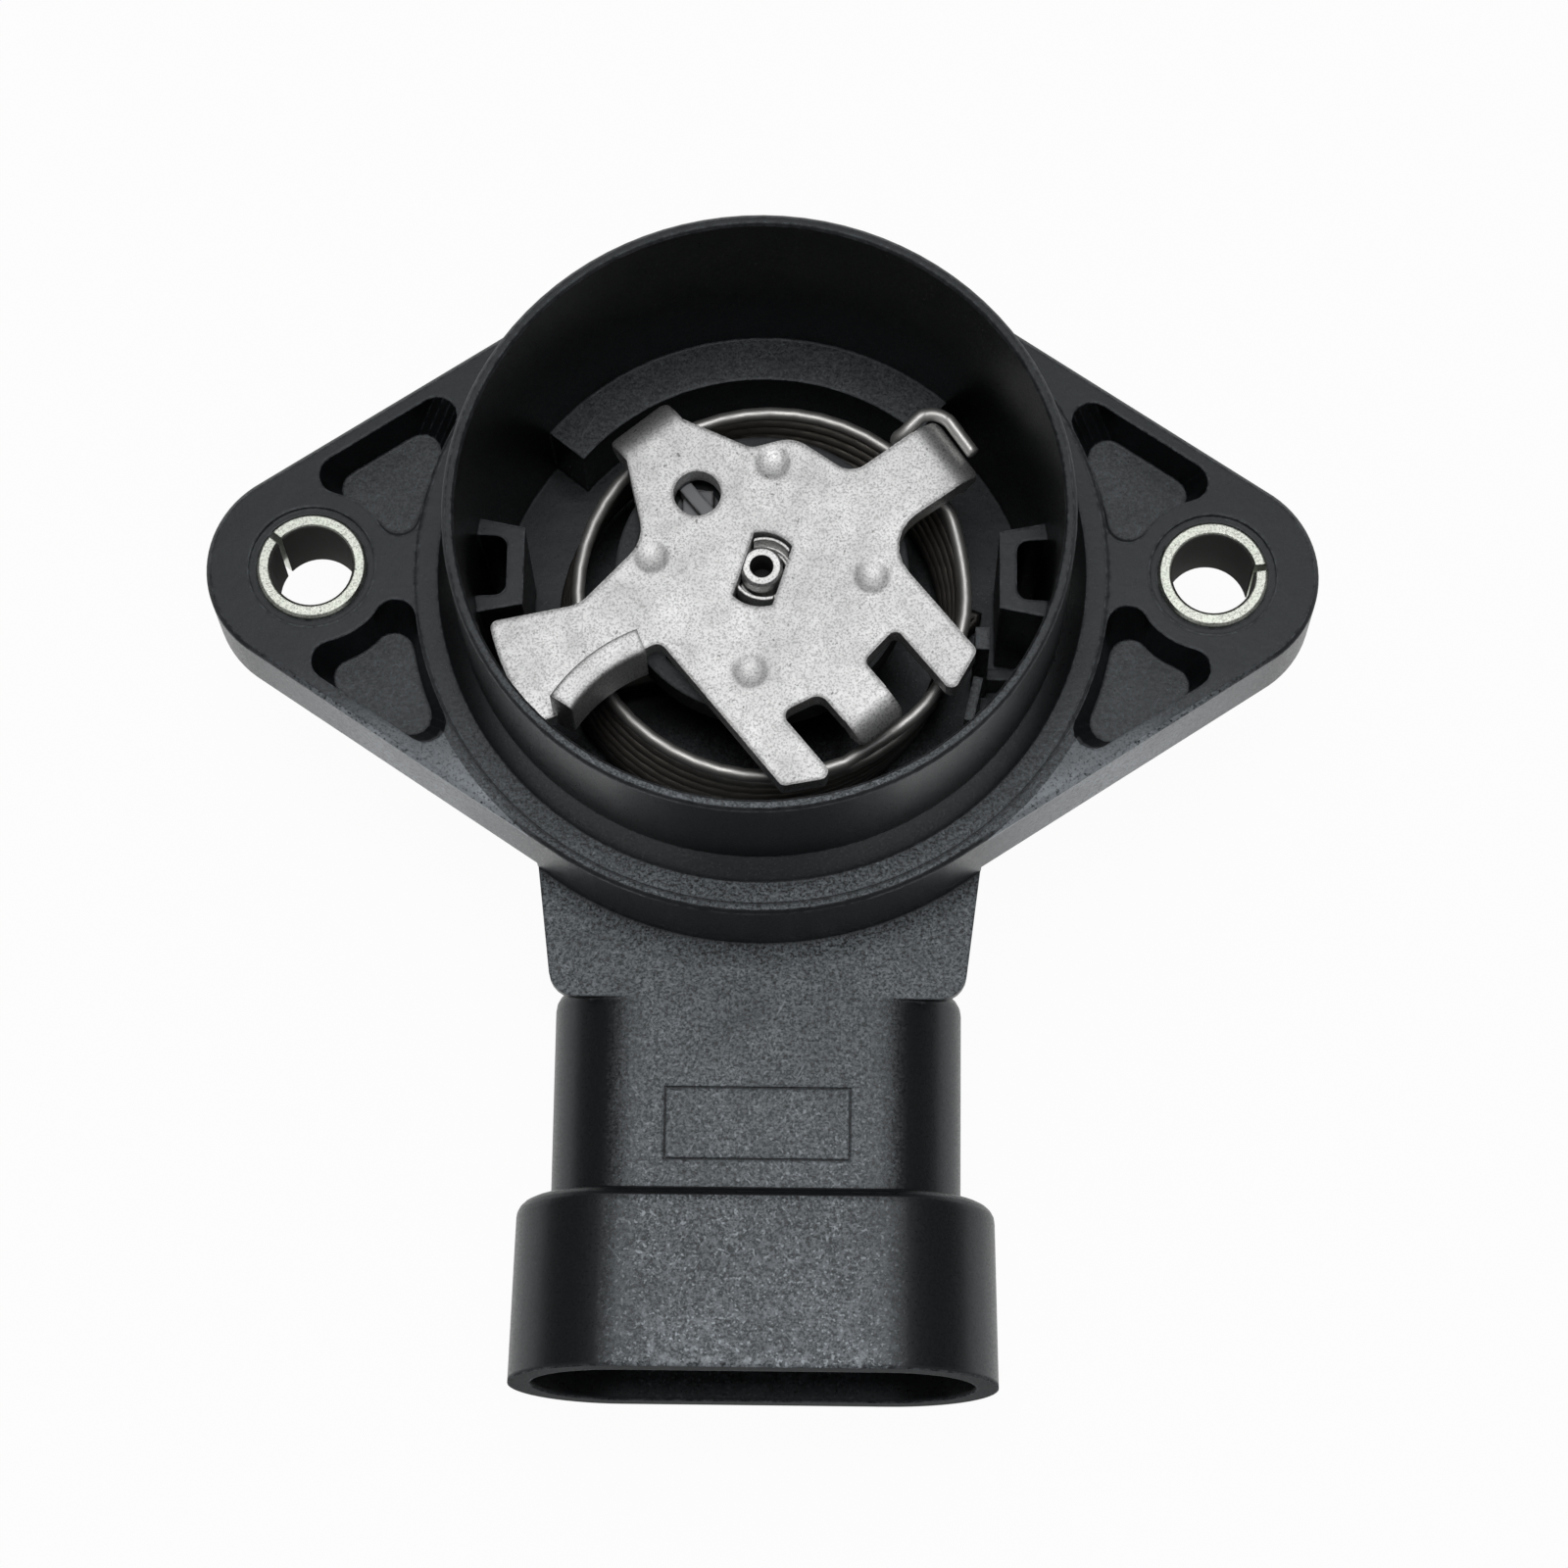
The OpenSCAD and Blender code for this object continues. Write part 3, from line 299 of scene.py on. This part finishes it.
def moulded_plastic(name, dark, light, rough=0.34, stud=None):
    """Glass-filled moulding with grain, scuffs and edge wear, painted sheen, glints and floor reflection,
    painted edge highlights and painted crease shade.

    stud is a paler column on the rotor: its x, y and radius in mm.
    """
    n = Nodes(name)
    speckle, fine, mottle = n.noise(0.31, 3.0, 0.65), n.noise(0.17, 2.0, 0.6), n.noise(3.0, 4.0, 0.6)
    grain_and_sheen = grain_and_sheen_zone(n)
    both = n.times(n.math("ADD", speckle, fine), 0.5)
    # Grain speckle painted paler on upward faces: real grain with painted sheen
    base = n.mix(n.times(n.ramp(both, [(0.44, 0.0), (0.57, 1.0)]), grain_and_sheen), dark, light)
    # Painted light: the flange's front band, which the cup shades, is painted much paler
    base = n.mix(n.times(n.ramp(both, [(0.38, 0.0), (0.47, 1.0)]), flange_ring_light(n)), base, shade(light, 3.3))
    # Painted reflection: the flange's front walls are painted paler, as if mirroring the pale floor
    base = n.mix(n.times(n.ramp(both, [(0.40, 0.0), (0.54, 1.0)]), front_wall_reflection(n)), base, shade(light, 1.7))
    # Painted glints: bright specks on the grained upward faces stand in for highlights
    painted_glints = n.times(n.ramp(n.noise(0.26, 1.0, 0.5), [(0.61, 0.0), (0.70, 1.0)]), grain_and_sheen,
                     n.along("Y", NECK_START, MOUTH_Y + 1.75, 0.35, 1.0))
    base = n.mix(painted_glints, base, shade(light, 2.4))
    base = n.mix(n.ramp(mottle, [(0.35, 0.0), (0.8, 0.5)]), base, dark)
    scuffs = n.larger(n.scratches(0.17, 16.0, 0.7), n.scratches(0.13, 14.0, -0.5))
    rubbed = n.times(n.along("Y", MOUTH_Y + 7.75, MOUTH_Y + 0.25, 0.0, 0.7),
                     n.ramp(n.noise(0.8, 4.0, 0.75), [(0.5, 0.0), (0.66, 1.0)]))
    base = n.mix(n.times(n.larger(scuffs, rubbed), grain_and_sheen), base, shade(light, 1.9))
    if stud:
        base = n.mix(n.spot(*stud), base, (0.3, 0.3, 0.31))
    soft = n.rounded(0.3)
    # Paler edges: partly real wear, partly a painted edge highlight
    wear_and_edge_glint = n.times(n.edge_of(soft), n.ramp(n.noise(0.7, 4.0, 0.7), [(0.4, 0.1), (0.62, 1.0)]))
    base = n.mix(wear_and_edge_glint, base, shade(light, 0.9))
    # Painted shade: grooves and inside corners darkened
    base = n.mix(n.crease_shade(0.5), base, shade(dark, 0.3))
    level = n.math("ADD", n.ramp(fine, [(0.3, rough - 0.08), (0.7, rough + 0.12)]),
                   n.along("Y", MOUTH_Y + 0.35, MOUTH_Y + 0.05, 0.0, 0.5))
    height = n.times(speckle, n.math("ADD", n.times(grain_and_sheen, 0.9), 0.1))
    normal = n.bump(mottle, 0.03, n.bump(height, 0.05, soft))
    return n.finish(base, level, normal, IOR=1.53, Specular_Tint=(0.9, 0.96, 1.0, 1.0))


def plated_steel(name, color, rough=0.32, pit_depth=0.006, tint=None, metallic=1.0, soften=0.12, bore=None):
    """Satin steel with fine pits and cloudy plating.

    bore is the x and radius in mm of a round hole, and its mirror image, whose insides get painted shade:
    dark, rough and less metallic.
    """
    n = Nodes(name)
    pits, cloud, specks = n.noise(0.15, 2.0, 0.6), n.noise(2.2, 4.0, 0.55), n.noise(0.42, 2.0, 0.5)
    base = n.mix(n.ramp(cloud, [(0.35, 0.0), (0.7, 1.0)]), color, tint or shade(color, 0.86))
    base = n.mix(n.ramp(pits, [(0.34, 0.9), (0.55, 0.0)]), base, shade(color, 0.5))
    base = n.mix(n.ramp(specks, [(0.25, 0.8), (0.32, 0.0)]), base, shade(color, 0.2))
    level = n.ramp(cloud, [(0.3, rough - 0.03), (0.75, rough + 0.05)])
    shine = metallic
    if bore:
        inside = n.in_bores(*bore)
        # Painted shade inside the bores
        base = n.mix(inside, base, shade(color, 0.07))
        level = n.mix(inside, level, (0.9, 0.9, 0.9))
        shine = n.math("SUBTRACT", metallic, inside)
    return n.finish(base, level, n.bump(pits, pit_depth, n.rounded(soften)), Metallic=shine)


def drawn_wire(name, color, rough=0.45):
    """Drawn spring wire: smooth and pale on top, then brown-grey and dark low in the cup, where painted
    shade darkens it.
    """
    n = Nodes(name)
    dirt = n.noise(1.8, 3.0, 0.6)
    base = n.mix(n.ramp(dirt, [(0.45, 0.0), (0.8, 0.4)]), color, shade(color, 0.7))
    brown = (color[0] * 0.3, color[1] * 0.26, color[2] * 0.22)
    # Brown tint with painted shade: the wire darkens below z -4.6
    base = n.mix(n.along("Z", -4.6, -6.2, 0.0, 0.75), base, brown)
    # Painted shade: near black deep in the cup
    base = n.mix(n.along("Z", -9.0, -11.0, 0.0, 0.8), base, shade(color, 0.06))
    level = n.ramp(dirt, [(0.3, rough - 0.03), (0.8, rough + 0.08)])
    return n.finish(base, level, n.bump(dirt, 0.004), Metallic=0.85)


def plain_material(name, color, other, rough, size_mm=0.5):
    """Nylon, rubber or ceramic: two near colours in soft patches."""
    n = Nodes(name)
    patch = n.noise(size_mm, 4.0, 0.6)
    base = n.mix(n.ramp(patch, [(0.35, 0.0), (0.7, 1.0)]), color, other)
    level = n.ramp(patch, [(0.3, rough - 0.08), (0.7, rough + 0.08)])
    return n.finish(base, level, n.bump(patch, 0.01))


MATERIALS = {
    "housing": moulded_plastic("housing_plastic", (0.004, 0.0043, 0.005), (0.264, 0.288, 0.312)),
    "rear_cover": moulded_plastic("cover_plastic", (0.010, 0.010, 0.011), (0.04, 0.041, 0.043), 0.45),
    "rotor": moulded_plastic("rotor_plastic", (0.012, 0.012, 0.013), (0.06, 0.062, 0.064), 0.5,
                             stud=(-4.8, 5.6, 1.6)),
    "drive_plate": plated_steel("plate_steel", (0.88, 0.88, 0.88), 0.46, 0.012, metallic=0.85, soften=0.5),
    "bush_left": plated_steel("bush_steel", (0.80, 0.82, 0.75), 0.28, 0.003, (0.75, 0.80, 0.70),
                              bore=(HOLE_X, 3.1)),
    "spindle": plated_steel("spindle_steel", (0.84, 0.84, 0.83), 0.4, bore=(0.0, 0.88)),
    "return_spring": drawn_wire("spring_steel", (0.78, 0.77, 0.75)),
    "bearing_bush": plated_steel("bearing_bronze", (0.5, 0.33, 0.16), 0.45, 0.012),
    "thrust_washer": plain_material("washer_nylon", (0.72, 0.69, 0.58), (0.62, 0.59, 0.48), 0.5),
    "cover_seal": plain_material("seal_rubber", (0.13, 0.03, 0.02), (0.09, 0.02, 0.015), 0.7),
    "sensor_board": plain_material("board_ceramic", (0.78, 0.77, 0.72), (0.7, 0.69, 0.63), 0.5, 1.0),
    "terminals": plated_steel("terminal_tin", (0.68, 0.66, 0.6), 0.3),
    "wipers": plated_steel("wiper_metal", (0.75, 0.58, 0.3), 0.28),
}
SAME = {
    "bush_right": "bush_left", "retaining_clip": "spindle", "wiper_carrier": "thrust_washer",
    "wiper_inner": "wipers", "wiper_outer": "wipers",
    **{f"terminal_{i}": "terminals" for i in range(1, 7)},
}


def dress(obj, material):
    if not obj.material_slots:
        obj.data.materials.append(material)
    for slot in obj.material_slots:
        slot.material = material


for name, node in NODES.items():
    dress(node, MATERIALS[SAME.get(name, name)])


# Mesh helpers

def to_object(name, mesh, smooth=True):
    bmesh.ops.recalc_face_normals(mesh, faces=mesh.faces)
    data = bpy.data.meshes.new(name)
    mesh.to_mesh(data)
    mesh.free()
    for face in data.polygons:
        face.use_smooth = smooth
    obj = bpy.data.objects.new(name, data)
    bpy.context.scene.collection.objects.link(obj)
    return obj


def skin(mesh, loops):
    """Joins closed loops of vertices one after another, and caps both ends."""
    count = len(loops[0])
    for a, b in zip(loops, loops[1:]):
        for k in range(count):
            mesh.faces.new((a[k], a[(k + 1) % count], b[(k + 1) % count], b[k]))
    mesh.faces.new(list(reversed(loops[0])))
    mesh.faces.new(loops[-1])


def smooth_path(points, steps):
    """Catmull-Rom curve through the points."""
    out = []
    last = len(points) - 1
    for i in range(last):
        p0, p1 = points[max(0, i - 1)], points[i]
        p2, p3 = points[i + 1], points[min(last, i + 2)]
        for k in range(steps):
            t = k / steps
            out.append(0.5 * (2 * p1 + (p2 - p0) * t + (2 * p0 - 5 * p1 + 4 * p2 - p3) * t * t
                              + (3 * p1 - p0 - 3 * p2 + p3) * t ** 3))
    return out + [points[-1]]


def tube(name, path, radius, sides):
    """A closed tube round a path in mm, with softened ends."""
    end_scale, end_shift = 0.55, 0.25
    mesh = bmesh.new()
    loops = []
    side = None
    last = len(path) - 1
    stops = [(0, end_scale, -end_shift)] + [(i, 1.0, 0.0) for i in range(last + 1)]
    stops.append((last, end_scale, end_shift))
    for i, scale, shift in stops:
        ahead = (path[min(i + 1, last)] - path[max(i - 1, 0)]).normalized()
        if side is None:
            side = ahead.cross(Vector((0, 0, 1))).normalized()
        side = (side - ahead * side.dot(ahead)).normalized()
        up = ahead.cross(side)
        centre = path[i] + ahead * radius * shift
        loop = []
        for k in range(sides):
            a = 2 * math.pi * k / sides
            spoke = side * math.cos(a) + up * math.sin(a)
            loop.append(mesh.verts.new((centre + spoke * radius * scale) * MM))
        loops.append(loop)
    skin(mesh, loops)
    return to_object(name, mesh)


# Return spring, in mm: one smooth wire

WIRE_D, SPRING_R, TURNS, PITCH = 1.0, 14.4, 6, 1.08
LEAN, TOP_RISE = 1.6, 1.5
START_ANGLE, END_ANGLE, ARM_ANGLE = 38, 22, 36
CUP_FLOOR = -12.6
COIL_BOTTOM = CUP_FLOOR + WIRE_D / 2 + 0.15
COIL_STEPS = 336
LEG_JOIN, HOOK_JOIN, HOOK_STRIDE = 22, 13, 4
PLATE_BOTTOM, PLATE_ARM_U, PLATE_ARM_V, FOLD_ANGLE = -0.9, 15.05, 2.1, 50


def on_arm(u, v, z):
    """A point in the frame of the plate's arm: u along it, v across it."""
    a = math.radians(ARM_ANGLE)
    return Vector((u * math.cos(a) - v * math.sin(a), u * math.sin(a) + v * math.cos(a), z))


def coil_point(turn):
    """A point of the coil, which leans more towards its bottom."""
    a = math.radians(START_ANGLE + 360 * turn)
    lean = LEAN * (1 - min(1, turn / TURNS))
    z = COIL_BOTTOM + min(turn, TURNS) * PITCH + max(0, turn - TURNS) * TOP_RISE
    return Vector((0.7 - lean + SPRING_R * math.cos(a), -0.45 * lean + SPRING_R * math.sin(a), z))


def spring_leg():
    """The fixed leg on the cup's floor."""
    return [Vector((x, y, COIL_BOTTOM)) for x, y in ((15.4, -3.1), (14.6, -1.2), (13.8, 0.7))]


def spring_hook():
    """Up past the arm's side, over it and down in front of its folded tip."""
    gap = WIRE_D / 2 + 0.15
    fold = math.radians(FOLD_ANGLE)
    side_v = PLATE_ARM_V + gap
    out_u = PLATE_ARM_U + 2.7 * math.sin(fold) + 0.3 * math.cos(fold) + gap
    hook_z, bend, bend_steps = 0.25, 1.6, 5
    points = [on_arm(14.3, -0.9, PLATE_BOTTOM - 2.4), on_arm(14.0, 1.4, PLATE_BOTTOM - 1.2),
              on_arm(14.2, side_v + 0.05, PLATE_BOTTOM), on_arm(14.9, side_v, hook_z - 0.3)]
    for i in range(bend_steps + 1):
        a = math.radians(90 - 18 * i)
        points.append(on_arm(out_u - bend + bend * math.cos(a),
                             side_v - bend + bend * math.sin(a) + 0.2 * (1 - i / bend_steps), hook_z))
    points.append(on_arm(out_u, side_v - 4.3, hook_z - 0.2))
    return points


def return_spring():
    turns = TURNS + 1 + (END_ANGLE - START_ANGLE) / 360
    coils = [coil_point(turns * i / COIL_STEPS) for i in range(COIL_STEPS + 1)]
    start = smooth_path(spring_leg() + [coils[LEG_JOIN]], 6)[:-1]
    end = smooth_path(coils[-HOOK_JOIN::HOOK_STRIDE] + spring_hook(), 6)
    spring = tube("return_spring_wire", start + coils[LEG_JOIN:-HOOK_JOIN] + end, WIRE_D / 2, sides=16)
    dress(spring, MATERIALS["return_spring"])
    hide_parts("return_spring")
    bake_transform(spring)


return_spring()


# Spindle's staked shoulders, in mm, one at each end of the drive hole

DRIVE_ANGLE, DRIVE_OFF_CENTRE, DRIVE_HALF = 73, -0.18, 1.35
SHOULDER_R = {1: 2.46, -1: 2.56}
SHOULDER_TOP, SHOULDER_BOTTOM, SHOULDER_INNER_R = 0.72, -1.85, 1.75


def staked_shoulders():
    along = Matrix.Rotation(math.radians(DRIVE_ANGLE), 3, "Z") @ Vector((1, 0, 0))
    across = Vector((-along.y, along.x, 0))
    steps = 14
    bottom, top = SHOULDER_BOTTOM, SHOULDER_TOP
    floor, step, edge, side = top - 1.5, top - 1.2, top - 0.06, top - 0.5
    section = [(0.0, bottom), (0.0, floor), (0.22, floor), (0.28, step), (0.5, step), (0.58, edge),
               (0.64, top), (0.88, top), (0.94, edge), (1.0, side), (1.0, bottom)]
    mesh = bmesh.new()
    for end, outer in SHOULDER_R.items():
        loops = []
        for i in range(steps + 1):
            loop = []
            for share, z in section:
                r = SHOULDER_INNER_R + (outer - SHOULDER_INNER_R) * share
                a = math.asin(DRIVE_HALF / r) * (2 * i / steps - 1)
                p = along * r * math.cos(a) * end + across * (r * math.sin(a) * end + DRIVE_OFF_CENTRE)
                loop.append(mesh.verts.new((p + Vector((0, 0, z))) * MM))
            loops.append(loop)
        skin(mesh, loops)
    shoulders = to_object("spindle_shoulders", mesh, smooth=False)
    dress(shoulders, MATERIALS["spindle"])
    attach(shoulders, ROTOR)


staked_shoulders()


# Studio: pale floor, soft lights, camera at the photograph's angle

WHITE = (1, 1, 1, 1)


def studio_floor():
    """Pale paper that the camera and reflections see as nearly white; it keeps the shadow."""
    mesh = bmesh.new()
    bmesh.ops.create_grid(mesh, x_segments=4, y_segments=4, size=3.0)
    floor = to_object("studio_floor", mesh)
    clear_of_part = 0.02 * MM
    floor.location.z = CAD_BOX[0][2] - clear_of_part

    camera_share, mirror_share = 0.96, 0.88
    n = Nodes("floor_paper")
    n.finish(n.mix(n.noise(40.0, 3.0, 0.5), (0.93, 0.93, 0.93), (0.95, 0.95, 0.95)), 0.8)
    glow = n.add("ShaderNodeEmission")
    glow.inputs["Color"].default_value = WHITE
    glow.inputs["Strength"].default_value = 1.0
    rays = n.add("ShaderNodeLightPath").outputs
    mirrored = n.larger(rays["Is Glossy Ray"], rays["Is Transmission Ray"])
    share = n.larger(n.times(rays["Is Camera Ray"], camera_share), n.times(mirrored, mirror_share))
    mixer = n.add("ShaderNodeMixShader")
    n.link(share, mixer.inputs["Fac"])
    n.link(n.shader.outputs["BSDF"], mixer.inputs[1])
    n.link(glow.outputs["Emission"], mixer.inputs[2])
    n.link(mixer.outputs["Shader"], n.out.inputs["Surface"])
    dress(floor, n.material)


def studio_world():
    """Weak white light all round, which the camera sees as plain white."""
    world = bpy.data.worlds.new("studio_world")
    bpy.context.scene.world = world
    world.use_nodes = True
    nodes, links = world.node_tree.nodes, world.node_tree.links
    nodes.clear()
    mixer = nodes.new("ShaderNodeMixShader")
    links.new(nodes.new("ShaderNodeLightPath").outputs["Is Camera Ray"], mixer.inputs["Fac"])
    for slot, strength in ((1, 0.16), (2, 1.0)):
        background = nodes.new("ShaderNodeBackground")
        background.inputs["Color"].default_value = WHITE
        background.inputs["Strength"].default_value = strength
        links.new(background.outputs[0], mixer.inputs[slot])
    links.new(mixer.outputs[0], nodes.new("ShaderNodeOutputWorld").inputs["Surface"])


def area_light(name, place, target, size, radiance):
    """A soft box; its face looks as bright as radiance, where 1 is white."""
    data = bpy.data.lights.new(name, "AREA")
    data.shape = "RECTANGLE"
    data.size, data.size_y = size
    data.energy = radiance * math.pi * size[0] * size[1]
    light = bpy.data.objects.new(name, data)
    bpy.context.scene.collection.objects.link(light)
    light.location = place
    light.rotation_euler = (Vector(target) - Vector(place)).to_track_quat("-Z", "Y").to_euler()


def camera():
    """The photograph's camera: angles in degrees, lengths in mm, focal length in its pixels."""
    elevation, azimuth, roll = 72.826, 2.502, -1.835
    distance, target = 336.772, Vector((1.843, -16.35, 0))
    focal_px, image_px, sensor = 4761.86, 1600, 36.0
    e, a, r = map(math.radians, (elevation, azimuth, roll))
    forward = -Vector((math.sin(a) * math.cos(e), -math.cos(a) * math.cos(e), math.sin(e)))
    right = forward.cross(Vector((0, 0, 1))).normalized()
    up = right.cross(forward)
    x_axis = right * math.cos(r) + up * math.sin(r)
    y_axis = up * math.cos(r) - right * math.sin(r)
    data = bpy.data.cameras.new("camera")
    data.sensor_width = sensor
    data.lens = focal_px / image_px * sensor
    data.clip_start, data.clip_end = 0.01, 20
    cam = bpy.data.objects.new("camera", data)
    bpy.context.scene.collection.objects.link(cam)
    turn = Matrix((x_axis, y_axis, -forward)).transposed().to_4x4()
    cam.matrix_world = Matrix.Translation((target - forward * distance) * MM) @ turn
    bpy.context.scene.camera = cam


studio_floor()
studio_world()
area_light("key", (0.0, 0.02, 0.8), (0, 0.02, 0), (0.36, 0.36), 3.9)
area_light("back", (0.0, 0.55, 0.8), (0, 0.1, 0), (0.8, 0.5), 0.7)
for side_name, sign in (("left", -1), ("right", 1)):
    area_light("front_" + side_name, (0.5 * sign, -0.6, 0.6), (0, -0.03, 0), (0.6, 0.5), 0.35)
camera()
bpy.context.scene.view_settings.view_transform = "Standard"
